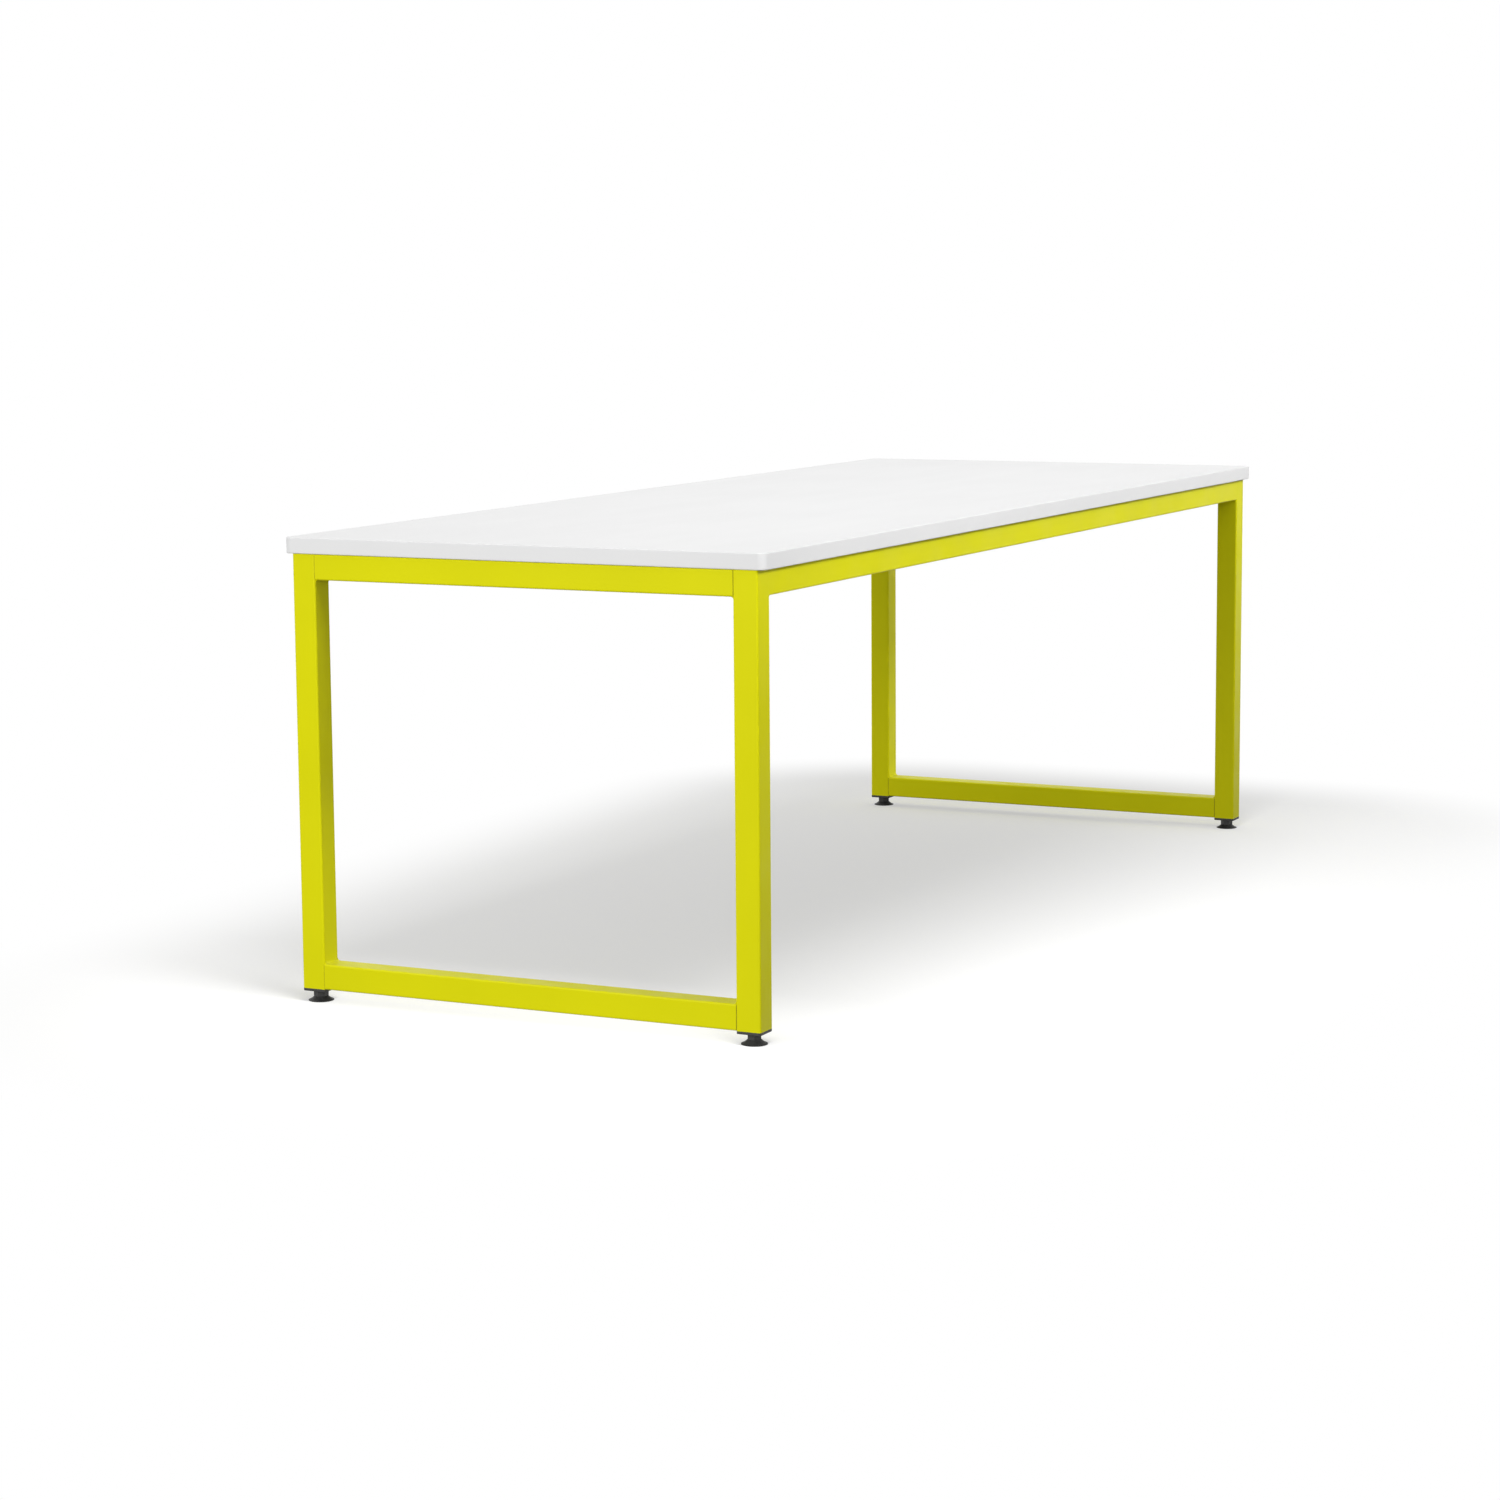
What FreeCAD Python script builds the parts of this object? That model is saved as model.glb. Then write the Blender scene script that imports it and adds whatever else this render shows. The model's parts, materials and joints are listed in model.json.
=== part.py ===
"""Dining table: a faced board on a welded frame of square tube, with four levelling feet.

Millimetres. +X runs along the table, +Y across it and +Z up. The origin is on the floor,
under the middle of the top. Left is -X and front is -Y.
"""
import FreeCAD
import Part

import math
import os

from FreeCAD import Vector

# Top
top_length = 2200.0
top_width = 820.0
table_height = 725.0
board_thickness = 25.0
top_corner_radius = 12.0
band_thickness = 2.0
band_arris_radius = 1.9

# Frame of square tube, and how far the top stands out past it
tube_size = 40.0
tube_wall = 2.0
tube_corner_radius = 3.0
end_overhang = 4.0
side_overhang = 13.0

# Welds: the fillet in an inner corner, and how deep the filled seam lies below the tube's face
weld_leg = 4.5
open_seam_depth = 0.8
ground_seam_depth = 0.05

# Steel angles that carry the top
bracket_width = 40.0
bracket_top_leg = 30.0
bracket_side_leg = 25.0
bracket_thickness = 3.0
bracket_bend_radius = 2.0
bracket_corner_radius = 6.0
bracket_hole_clearance = 0.4
brackets_per_long_rail = 4
brackets_per_end_rail = 2
bracket_end_distance = 180.0

# Wood screws through the angles
screw_radius = 2.4
screw_cover = 8.0
screw_point_length = 4.0
screw_head_radius = 5.0
screw_head_height = 2.8

# Plastic plug in the foot of each upright
cap_flange_thickness = 4.4
cap_edge_radius = 0.8
plug_height = 26.0
plug_gap = 1.2
plug_wall = 2.0
plug_rib_thickness = 2.0
fin_thickness = 1.6
fin_count = 3
boss_wall = 2.5

# Steel nut in the plug
nut_across_flats = 17.0
nut_height = 8.0
nut_seat_height = 8.0
nut_chamfer = 1.0

# Levelling foot: stud, six-sided collar and swivelling pad
stud_radius = 5.0
stud_tip_chamfer = 1.0
stud_spare_length = 2.0
stud_head_radius = 8.0
stud_head_thickness = 2.0
stud_head_lift = 1.0
thread_clearance = 0.05
stud_hole_clearance = 0.6
swivel_clearance = 0.1
swivel_gap = 0.1
seat_gap = 0.2
foot_travel = 15.0
hub_across_flats = 20.0
hub_height = 9.7
hub_chamfer = 0.7
pad_radius = 20.0
pad_rim_height = 1.1
pad_rim_radius = 0.5
pad_height = 7.0
pad_shoulder_radius = 10.9
pad_flare_sag = 0.6
pad_recess_clearance = 1.0

# Where each foot's six-sided collar has come to rest, as turned by hand, in degrees
hub_angle = {
    "front_left": 56.0,
    "front_right": 12.0,
    "back_left": 33.5,
    "back_right": 48.0,
}

# Heights and places that follow from the sizes above
hub_bottom = pad_height + swivel_gap
hub_top = hub_bottom + hub_height
cap_bottom = hub_top + seat_gap
tube_bottom = cap_bottom + cap_flange_thickness
frame_top = table_height - board_thickness
frame_half_length = top_length / 2 - end_overhang
frame_half_width = top_width / 2 - side_overhang
tube_inside = tube_size - 2 * tube_wall
tube_inside_radius = tube_corner_radius - tube_wall
leg_x = frame_half_length - tube_size / 2
leg_y = frame_half_width - tube_size / 2
top_rail_z = frame_top - tube_size / 2
bottom_rail_z = tube_bottom + tube_size / 2
nut_bottom = tube_bottom + nut_seat_height
nut_top = nut_bottom + nut_height
stud_top = nut_top + foot_travel + stud_spare_length
screw_seat_z = frame_top - bracket_thickness
screw_tip_z = table_height - screw_cover

# Sides and corners of the table, as signs along X and Y
ENDS = {"left": -1, "right": 1}
SIDES = {"front": -1, "back": 1}
UP = Vector(0, 0, 1)
TINY = 0.01


def export(name, *solids):
    """Write one sub-part, made of one solid or of a group of separate solids."""
    shape = solids[0] if len(solids) == 1 else Part.makeCompound(list(solids))
    shape.exportStep("parts/" + name + ".step")
    print(name, len(shape.Solids), "solid(s),", round(shape.Volume / 1000, 2), "cm3")


def polygon(points):
    """A closed wire through points, each of them a Vector."""
    return Part.makePolygon(points + points[:1])


def rounded_rectangle(length, width, radius):
    """A face in the XY plane, centred on the origin, with round corners."""
    x = length / 2
    y = width / 2
    if radius < TINY:
        return Part.Face(polygon([Vector(-x, -y), Vector(x, -y), Vector(x, y), Vector(-x, y)]))
    edges = []
    for turn in range(4):
        along = (length if turn % 2 == 0 else width) / 2
        away = (width if turn % 2 == 0 else length) / 2
        middle = Vector(along - radius, -away + radius, 0)
        start = middle + Vector(0, -radius, 0)
        halfway = middle + Vector(radius * math.sqrt(0.5), -radius * math.sqrt(0.5), 0)
        end = middle + Vector(radius, 0, 0)
        side = Part.LineSegment(Vector(-along + radius, -away, 0), start).toShape()
        corner = Part.Arc(start, halfway, end).toShape()
        for edge in (side, corner):
            edge.rotate(Vector(), UP, 90 * turn)
            edges.append(edge)
    return Part.Face(Part.Wire(edges))


def hexagon(across_flats, angle):
    """A six-sided face in the XY plane, with the normal of one flat at angle degrees."""
    corner_radius = across_flats / 2 / math.cos(math.pi / 6)
    turns = [math.radians(angle + 30 + 60 * side) for side in range(6)]
    points = [Vector(corner_radius * math.cos(a), corner_radius * math.sin(a), 0) for a in turns]
    return Part.Face(polygon(points))


def prism(face, bottom, top):
    """A face in the XY plane drawn up between two heights."""
    solid = face.extrude(Vector(0, 0, top - bottom))
    solid.translate(Vector(0, 0, bottom))
    return solid


def cylinder(radius, bottom, top):
    return Part.makeCylinder(radius, top - bottom, Vector(0, 0, bottom))


def revolved(wire):
    """A closed wire in the XZ plane turned about Z."""
    return Part.Face(wire).revolve(Vector(), UP, 360)


def placed(solid, x, y, angle=0.0):
    """A copy turned about Z and then moved in plan."""
    copy = solid.copy()
    copy.rotate(Vector(), UP, angle)
    copy.translate(Vector(x, y, 0))
    return copy


def tube_section(inset=0.0):
    """The outer outline of the square tube as a face, or one that lies inset below its surface."""
    size = tube_size - 2 * inset
    return rounded_rectangle(size, size, tube_corner_radius - inset)


def square_tube(length):
    """A square tube that stands on the XY plane."""
    outside = prism(tube_section(), 0, length)
    inside = prism(rounded_rectangle(tube_inside, tube_inside, tube_inside_radius), 0, length)
    return outside.cut(inside)


def laid_along_x(solid, z):
    """A piece drawn along Z, laid along X and centred there at height z."""
    box = solid.BoundBox
    copy = solid.copy()
    copy.translate(Vector(0, 0, -(box.ZMin + box.ZMax) / 2))
    copy.rotate(Vector(), Vector(0, 1, 0), 90)
    copy.translate(Vector(0, 0, z))
    return copy


def corners():
    """The name and the place of each upright."""
    for side, y_sign in SIDES.items():
        for end, x_sign in ENDS.items():
            yield side + "_" + end, x_sign * leg_x, y_sign * leg_y


# Top

def edged_outline(inset):
    """The top's outline in plan, with the edging's thickness taken off where inset asks for it."""
    length = top_length - 2 * inset
    width = top_width - 2 * inset
    return rounded_rectangle(length, width, top_corner_radius - inset)


def edge_band():
    """Plastic edging with its long arrises rounded over."""
    blank = prism(edged_outline(0), frame_top, table_height)
    rims = [e for e in blank.Edges if e.BoundBox.ZLength < TINY]
    blank = blank.makeFillet(band_arris_radius, rims)
    return blank.cut(prism(edged_outline(band_thickness), frame_top, table_height))


def wood_screw():
    """A pan-headed wood screw, point up, with its head under the angle."""
    r = screw_radius
    head_bottom = screw_seat_z - screw_head_height
    shoulder = screw_seat_z - screw_head_height / 2
    tip = screw_tip_z
    profile = Part.Wire([
        Part.LineSegment(Vector(0, 0, tip), Vector(0, 0, head_bottom)).toShape(),
        Part.LineSegment(Vector(0, 0, head_bottom), Vector(r, 0, head_bottom)).toShape(),
        Part.Arc(
            Vector(r, 0, head_bottom),
            Vector((r + 2 * screw_head_radius) / 3, 0, (2 * head_bottom + shoulder) / 3),
            Vector(screw_head_radius, 0, shoulder),
        ).toShape(),
        Part.LineSegment(Vector(screw_head_radius, 0, shoulder),
                         Vector(screw_head_radius, 0, screw_seat_z)).toShape(),
        Part.LineSegment(Vector(screw_head_radius, 0, screw_seat_z),
                         Vector(r, 0, screw_seat_z)).toShape(),
        Part.LineSegment(Vector(r, 0, screw_seat_z),
                         Vector(r, 0, tip - screw_point_length)).toShape(),
        Part.LineSegment(Vector(r, 0, tip - screw_point_length), Vector(0, 0, tip)).toShape(),
    ])
    return revolved(profile)


def top_bracket():
    """An angle bent from plate. Its side leg lies on the plane y = 0 and it reaches out along +Y."""
    t = bracket_thickness
    inner = bracket_bend_radius
    outer = inner + t
    inner_turn = inner * (1 - math.sqrt(0.5))
    outer_turn = outer * (1 - math.sqrt(0.5))
    profile = Part.Wire([
        Part.LineSegment(Vector(0, 0, -bracket_side_leg), Vector(0, 0, -outer)).toShape(),
        Part.Arc(Vector(0, 0, -outer), Vector(0, outer_turn, -outer_turn),
                 Vector(0, outer, 0)).toShape(),
        Part.LineSegment(Vector(0, outer, 0), Vector(0, bracket_top_leg, 0)).toShape(),
        Part.LineSegment(Vector(0, bracket_top_leg, 0), Vector(0, bracket_top_leg, -t)).toShape(),
        Part.LineSegment(Vector(0, bracket_top_leg, -t), Vector(0, outer, -t)).toShape(),
        Part.Arc(Vector(0, outer, -t), Vector(0, t + inner_turn, -t - inner_turn),
                 Vector(0, t, -outer)).toShape(),
        Part.LineSegment(Vector(0, t, -outer), Vector(0, t, -bracket_side_leg)).toShape(),
        Part.LineSegment(Vector(0, t, -bracket_side_leg), Vector(0, 0, -bracket_side_leg)).toShape(),
    ])
    angle = Part.Face(profile).extrude(Vector(bracket_width, 0, 0))
    angle.translate(Vector(-bracket_width / 2, 0, 0))
    free_corners = [
        e for e in angle.Edges
        if e.BoundBox.YMin > bracket_top_leg - TINY and abs(e.BoundBox.ZLength - t) < TINY
    ]
    angle = angle.makeFillet(bracket_corner_radius, free_corners)
    hole = Part.makeCylinder(screw_radius + bracket_hole_clearance, 2 * t,
                             Vector(0, bracket_hole_reach(), -1.5 * t))
    angle = angle.cut(hole)
    angle.translate(Vector(0, 0, frame_top))
    return angle


def bracket_hole_reach():
    """How far a screw stands in from the rail: the middle of the angle's flat top leg."""
    return (bracket_thickness + bracket_bend_radius + bracket_top_leg) / 2


def spread(count, half_length):
    """Places along a rail, with the outer two at bracket_end_distance from its ends."""
    if count == 1:
        return [0.0]
    reach = half_length - bracket_end_distance
    return [-reach + 2 * reach * i / (count - 1) for i in range(count)]


def bracket_places():
    """The plan place and the turn of each angle, on the inner faces of the four rails."""
    inner_x = frame_half_length - tube_size
    inner_y = frame_half_width - tube_size
    for x in spread(brackets_per_long_rail, inner_x):
        yield x, -inner_y, 0
        yield x, inner_y, 180
    for y in spread(brackets_per_end_rail, inner_y):
        yield -inner_x, y, -90
        yield inner_x, y, 90


def screw_copies():
    """A wood screw in the hole of each angle."""
    screw = wood_screw()
    screw.translate(Vector(0, bracket_hole_reach(), 0))
    return [placed(screw, *place) for place in bracket_places()]


# Frame

def rails():
    """Name, plan place, turn in plan, height and length of each rail.

    At a turn of 0 a rail lies along X, with its outer face towards -Y.
    """
    across = 2 * (leg_y - tube_size / 2)
    along = 2 * (leg_x - tube_size / 2)
    for end, x_sign in ENDS.items():
        yield "end_top_rail_" + end, x_sign * leg_x, 0, 90 * x_sign, top_rail_z, across
        yield "end_bottom_rail_" + end, x_sign * leg_x, 0, 90 * x_sign, bottom_rail_z, across
    for side, y_sign in SIDES.items():
        yield "long_rail_" + side, 0, y_sign * leg_y, 90 + 90 * y_sign, top_rail_z, along


def fillet_bead():
    """A hollow-faced fillet weld along Y, in the corner of the XY and YZ planes."""
    leg = weld_leg
    hollow = leg * (1 - math.sqrt(0.5))
    profile = Part.Wire([
        Part.LineSegment(Vector(), Vector(leg, 0, 0)).toShape(),
        Part.Arc(Vector(leg, 0, 0), Vector(hollow, 0, hollow), Vector(0, 0, leg)).toShape(),
        Part.LineSegment(Vector(0, 0, leg), Vector()).toShape(),
    ])
    run = tube_size - 2 * tube_corner_radius
    bead = Part.Face(profile).extrude(Vector(0, run, 0))
    bead.translate(Vector(0, -run / 2, 0))
    return bead


def joint_welds(half_length, z, seam_depth, outer_only):
    """Weld metal at both ends of a rail that lies along X: seams in its side faces and a fillet bead.

    Two rails share an upright's inner corner, so one of them is welded on its outer face only.
    """
    reach = laid_along_x(prism(tube_section(seam_depth), 0, 2 * (half_length + tube_corner_radius)), z)
    solids = []
    for sign in (-1, 1):
        x = sign * (half_length + tube_size / 2)
        upright = placed(prism(tube_section(), z - tube_size, z + tube_size), x, 0)
        beyond = Part.makeBox(tube_size, 2 * tube_size, 2 * tube_size,
                              Vector(x - tube_size / 2, -tube_size, z - tube_size))
        seams = reach.common(beyond).cut(upright).Solids
        solids += [seam for seam in seams if not outer_only or seam.CenterOfMass.y < 0]
        bead = placed(fillet_bead(), 0, 0, 90 + 90 * sign)
        under_top = z == top_rail_z
        if under_top:
            bead.rotate(Vector(), Vector(1, 0, 0), 180)
        open_face = -tube_size / 2 if under_top else tube_size / 2
        bead.translate(Vector(sign * half_length, 0, z + open_face))
        solids.append(bead)
    return solids


# Levelling feet, each modelled on the Z axis and then moved under its upright

def foot_cap():
    """Plastic plug: a flange under the tube, a finned cup inside it and a boss that holds the nut."""
    flange = prism(tube_section(), cap_bottom, tube_bottom)
    lower_rim = [e for e in flange.Edges if e.BoundBox.ZMax < cap_bottom + TINY]
    cap = flange.makeFillet(cap_edge_radius, lower_rim)
    plug_top = tube_bottom + plug_height
    core = tube_inside - 2 * plug_gap
    core_radius = max(tube_inside_radius - plug_gap, 0)
    cup = prism(rounded_rectangle(core, core, core_radius), tube_bottom, plug_top)
    hollow = core - 2 * plug_wall
    cup = cup.cut(prism(rounded_rectangle(hollow, hollow, 0), tube_bottom, plug_top))
    fin_face = rounded_rectangle(tube_inside, tube_inside, tube_inside_radius)
    fin_face = fin_face.cut(rounded_rectangle(core - plug_wall, core - plug_wall, 0))
    pieces = [cup]
    for fin in range(fin_count):
        fin_middle = tube_bottom + plug_height * (fin + 0.5) / fin_count
        pieces.append(prism(fin_face, fin_middle - fin_thickness / 2, fin_middle + fin_thickness / 2))
    boss_radius = nut_across_flats / 2 / math.cos(math.pi / 6) + boss_wall
    boss = cylinder(boss_radius, tube_bottom, nut_top)
    pieces.append(boss.common(prism(rounded_rectangle(core, core, core_radius), tube_bottom, nut_top)))
    for angle in (0, 90):
        rib = Part.makeBox(core - plug_wall, plug_rib_thickness, nut_top - tube_bottom,
                           Vector(-(core - plug_wall) / 2, -plug_rib_thickness / 2, tube_bottom))
        pieces.append(placed(rib, 0, 0, angle))
    cap = cap.fuse(pieces).removeSplitter()
    cap = cap.cut(cylinder(stud_radius + stud_hole_clearance, cap_bottom, nut_top))
    return cap.cut(prism(hexagon(nut_across_flats, 0), nut_bottom, nut_top))


def chamfered_hexagon(across_flats, angle, bottom, top, chamfer):
    """A six-sided block whose corners are turned down at both ends."""
    corner_radius = across_flats / 2 / math.cos(math.pi / 6)
    turned = polygon([
        Vector(0, 0, bottom),
        Vector(corner_radius - chamfer, 0, bottom),
        Vector(corner_radius, 0, bottom + chamfer / 2),
        Vector(corner_radius, 0, top - chamfer / 2),
        Vector(corner_radius - chamfer, 0, top),
        Vector(0, 0, top),
    ])
    return prism(hexagon(across_flats, angle), bottom, top).common(revolved(turned))


def foot_nut():
    """Steel nut, seated in the plug's six-sided pocket."""
    block = chamfered_hexagon(nut_across_flats, 0, nut_bottom, nut_top, nut_chamfer)
    return block.cut(cylinder(stud_radius + thread_clearance, nut_bottom, nut_top))


def foot_stud():
    """Steel stud, headed under the pad, with a chamfered upper tip."""
    head_bottom = stud_head_lift
    head_top = head_bottom + stud_head_thickness
    return revolved(polygon([
        Vector(0, 0, head_bottom),
        Vector(stud_head_radius, 0, head_bottom),
        Vector(stud_head_radius, 0, head_top),
        Vector(stud_radius, 0, head_top),
        Vector(stud_radius, 0, stud_top - stud_tip_chamfer),
        Vector(stud_radius - stud_tip_chamfer, 0, stud_top),
        Vector(0, 0, stud_top),
    ]))


def foot_hub(angle):
    """Six-sided plastic collar, moulded onto the stud, by which the foot is turned."""
    block = chamfered_hexagon(hub_across_flats, angle, hub_bottom, hub_top, hub_chamfer)
    return block.cut(cylinder(stud_radius, hub_bottom, hub_top))


def foot_pad():
    """Flared plastic pad that swivels between the stud's head and the collar."""
    hole = stud_radius + swivel_clearance
    recess = stud_head_radius + pad_recess_clearance
    recess_top = stud_head_lift + stud_head_thickness + swivel_gap
    edge = pad_rim_radius
    turn = edge * (1 - math.sqrt(0.5))
    rim = Vector(pad_radius, 0, pad_rim_height)
    shoulder = Vector(pad_shoulder_radius, 0, pad_height)
    slope = shoulder - rim
    inward = Vector(slope.z, 0, -slope.x).normalize() * -pad_flare_sag
    outline = Part.Wire([
        Part.LineSegment(Vector(recess, 0, 0), Vector(pad_radius - edge, 0, 0)).toShape(),
        Part.Arc(Vector(pad_radius - edge, 0, 0), Vector(pad_radius - turn, 0, turn),
                 Vector(pad_radius, 0, edge)).toShape(),
        Part.LineSegment(Vector(pad_radius, 0, edge), rim).toShape(),
        Part.Arc(rim, rim + slope * 0.5 + inward, shoulder).toShape(),
        Part.LineSegment(shoulder, Vector(hole, 0, pad_height)).toShape(),
        Part.LineSegment(Vector(hole, 0, pad_height), Vector(hole, 0, recess_top)).toShape(),
        Part.LineSegment(Vector(hole, 0, recess_top), Vector(recess, 0, recess_top)).toShape(),
        Part.LineSegment(Vector(recess, 0, recess_top), Vector(recess, 0, 0)).toShape(),
    ])
    return revolved(outline)


# Sub-parts

os.makedirs("parts", exist_ok=True)

screws = screw_copies()
board = prism(edged_outline(band_thickness), frame_top, table_height)
export("top_board", board.cut(screws))
export("top_edge_band", edge_band())
export("top_brackets", *[placed(top_bracket(), *place) for place in bracket_places()])
export("top_screws", *screws)

welds = {"left": [], "right": [], "long": []}
for name, x, y, turn, z, length in rails():
    export(name, placed(laid_along_x(square_tube(length), z), x, y, turn))
    is_long = name.startswith("long")
    seam_depth = ground_seam_depth if is_long else open_seam_depth
    group = "long" if is_long else name.rsplit("_", 1)[1]
    welds[group] += [placed(w, x, y, turn) for w in joint_welds(length / 2, z, seam_depth, is_long)]
for end in ENDS:
    export("end_frame_welds_" + end, *welds[end])
export("long_rail_welds", *welds["long"])

upright = square_tube(frame_top - tube_bottom)
upright.translate(Vector(0, 0, tube_bottom))
cap = foot_cap()
nut = foot_nut()
stud = foot_stud()
pad = foot_pad()
for corner, x, y in corners():
    export("upright_" + corner, placed(upright, x, y))
    export("foot_cap_" + corner, placed(cap, x, y))
    export("foot_nut_" + corner, placed(nut, x, y))
    export("foot_stud_" + corner, placed(stud, x, y))
    export("foot_hub_" + corner, placed(foot_hub(hub_angle[corner]), x, y))
    export("foot_pad_" + corner, placed(pad, x, y))
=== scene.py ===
# %% [markdown]
# # A long dining table, finished in Blender
# The table is a white edged board on a welded frame of square tube, with a levelling foot under
# each upright. A CAD model holds every size and every joint. This lesson loads it as a fixed
# frame, gives each part its finish, and remodels the small pieces whose looks a plain solid
# lacks. All sizes are in metres, and the origin is on the floor under the middle of the top.

import json
import math

import bpy
from mathutils import Matrix, Vector

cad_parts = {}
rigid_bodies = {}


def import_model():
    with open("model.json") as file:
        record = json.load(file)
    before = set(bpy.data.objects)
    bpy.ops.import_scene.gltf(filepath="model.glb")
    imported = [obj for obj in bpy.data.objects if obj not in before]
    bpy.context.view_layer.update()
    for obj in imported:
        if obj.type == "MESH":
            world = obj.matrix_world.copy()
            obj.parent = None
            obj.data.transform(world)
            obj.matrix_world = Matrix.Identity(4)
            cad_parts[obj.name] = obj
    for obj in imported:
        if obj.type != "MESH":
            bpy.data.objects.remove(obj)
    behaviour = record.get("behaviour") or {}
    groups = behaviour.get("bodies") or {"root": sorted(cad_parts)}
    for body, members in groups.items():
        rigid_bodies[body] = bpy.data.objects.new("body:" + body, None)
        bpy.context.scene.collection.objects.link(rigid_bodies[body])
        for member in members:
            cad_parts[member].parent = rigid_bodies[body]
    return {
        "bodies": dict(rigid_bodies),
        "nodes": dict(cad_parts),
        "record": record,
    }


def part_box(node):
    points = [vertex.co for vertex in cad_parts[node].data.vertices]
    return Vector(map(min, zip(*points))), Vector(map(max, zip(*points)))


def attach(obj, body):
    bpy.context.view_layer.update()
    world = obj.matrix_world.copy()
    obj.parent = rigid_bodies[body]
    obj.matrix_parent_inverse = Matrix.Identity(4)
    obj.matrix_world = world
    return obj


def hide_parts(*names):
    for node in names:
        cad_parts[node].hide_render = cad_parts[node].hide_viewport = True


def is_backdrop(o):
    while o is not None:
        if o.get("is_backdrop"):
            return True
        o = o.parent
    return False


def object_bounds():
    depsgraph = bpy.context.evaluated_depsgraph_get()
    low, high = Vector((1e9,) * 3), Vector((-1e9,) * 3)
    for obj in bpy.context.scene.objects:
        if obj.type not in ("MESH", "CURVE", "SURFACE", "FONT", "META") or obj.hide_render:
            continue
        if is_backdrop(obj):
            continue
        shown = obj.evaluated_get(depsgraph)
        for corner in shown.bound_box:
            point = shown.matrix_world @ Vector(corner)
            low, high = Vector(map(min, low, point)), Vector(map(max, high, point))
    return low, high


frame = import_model()
cad_nodes = frame["nodes"]
cad_low, cad_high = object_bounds()
mm = 0.001
print("the table measures", [round((h - l) / mm) for l, h in zip(cad_low, cad_high)], "mm")

# %% [markdown]
# ## Camera
# The photograph was taken from a few metres off the near end, with a long lens and from a little
# above the table top. A camera could be aimed with a tracking constraint, but a photographer sets
# a tripod head, so it is turned in the same three steps: pan, tilt, and a trace of roll.

# %% Camera
camera_place = Vector((-5.626, -2.622, 1.150))
camera_pan = math.radians(26.30)
camera_tilt = math.radians(8.01)
camera_roll = math.radians(0.43)

lens = bpy.data.cameras.new("camera")
lens.lens = 84.7
lens.sensor_width = 36.0
camera = bpy.data.objects.new("camera", lens)
bpy.context.scene.collection.objects.link(camera)
tripod_head = (Matrix.Rotation(camera_pan - math.pi / 2, 4, "Z")
               @ Matrix.Rotation(math.pi / 2 - camera_tilt, 4, "X")
               @ Matrix.Rotation(-camera_roll, 4, "Z"))
camera.matrix_world = Matrix.Translation(camera_place) @ tripod_head
bpy.context.scene.camera = camera
bpy.context.scene.view_settings.view_transform = "Standard"
print("the camera stands", round(camera_place.length, 2), "m from the middle of the table")

# %% [markdown]
# ## Helpers for shader nodes
# Every finish below is a small tree of nodes. Adding a node takes the same few lines each time:
# make it, set its options, then link or fill its inputs. One helper does all of that, and a few
# more are short names for nodes that come up often. The last one tells the rays that the camera
# sees from the rays that only carry light about, which the white surroundings need.

# %% Node helpers
def place(tree, kind, feeds=None, **options):
    """Add a node. A feed that is a socket is linked to the input, any other is its value."""
    node = tree.nodes.new(kind)
    for option, value in options.items():
        setattr(node, option, value)
    for socket, feed in (feeds or {}).items():
        if isinstance(feed, bpy.types.NodeSocket):
            tree.links.new(feed, node.inputs[socket])
        else:
            node.inputs[socket].default_value = feed
    return node


def calc(tree, operation, *feeds):
    """Add a Math node and return its result."""
    node = place(tree, "ShaderNodeMath", dict(enumerate(feeds)), operation=operation)
    return node.outputs["Value"]


def vector_calc(tree, operation, *feeds):
    """Add a Vector Math node and return its result."""
    node = place(tree, "ShaderNodeVectorMath", dict(enumerate(feeds)), operation=operation)
    return node.outputs["Vector"]


def ramp(tree, value, from_low, from_high, to_low=0.0, to_high=1.0):
    """Map one range of a value smoothly to another, with no overshoot."""
    feeds = {"Value": value, "From Min": from_low, "From Max": from_high,
             "To Min": to_low, "To Max": to_high}
    return place(tree, "ShaderNodeMapRange", feeds, interpolation_type="SMOOTHSTEP").outputs["Result"]


def spot_on_piece(tree):
    """Where a point of the surface lies, in metres from the origin."""
    return place(tree, "ShaderNodeTexCoord").outputs["Object"]


def axis_of(tree, vector, axis):
    """One axis of a vector."""
    return place(tree, "ShaderNodeSeparateXYZ", {0: vector}).outputs[axis]


def seen_directly(tree):
    """1 for what the camera sees, straight, mirrored or through glass, and 0 for scattered light."""
    path = place(tree, "ShaderNodeLightPath")
    straight = calc(tree, "MAXIMUM", path.outputs["Is Camera Ray"], path.outputs["Is Glossy Ray"])
    return calc(tree, "MAXIMUM", straight, path.outputs["Is Transmission Ray"])


print("node helpers ready")

# %% [markdown]
# ## Studio: floor and surroundings
# A white floor that also shows a shadow is a balancing act: lit until it is white, it would flood
# the table with bounced light. So the floor is grey to the light that is scattered about, and
# paler to the camera, with a little glow on top that lifts the open floor to white while the
# shadow under the table stays grey. Away from the table it turns into plain white, so there is
# no horizon. Seen from below it is clear, so that the underside can be looked at. The surroundings
# are white to the camera as well, and light the table from all sides at about half that strength.

# %% Floor
floor_size = 80

bpy.ops.object.select_all(action="DESELECT")
bpy.ops.mesh.primitive_plane_add(size=floor_size)
floor = bpy.context.object
floor.name = "studio_floor"
print("a floor of", floor_size, "by", floor_size, "m")

# %% Floor finish
floor_scatter = 0.20
floor_seen = 0.56
floor_glow = 0.45
white_from = 0.3
white_by = 0.7

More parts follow.
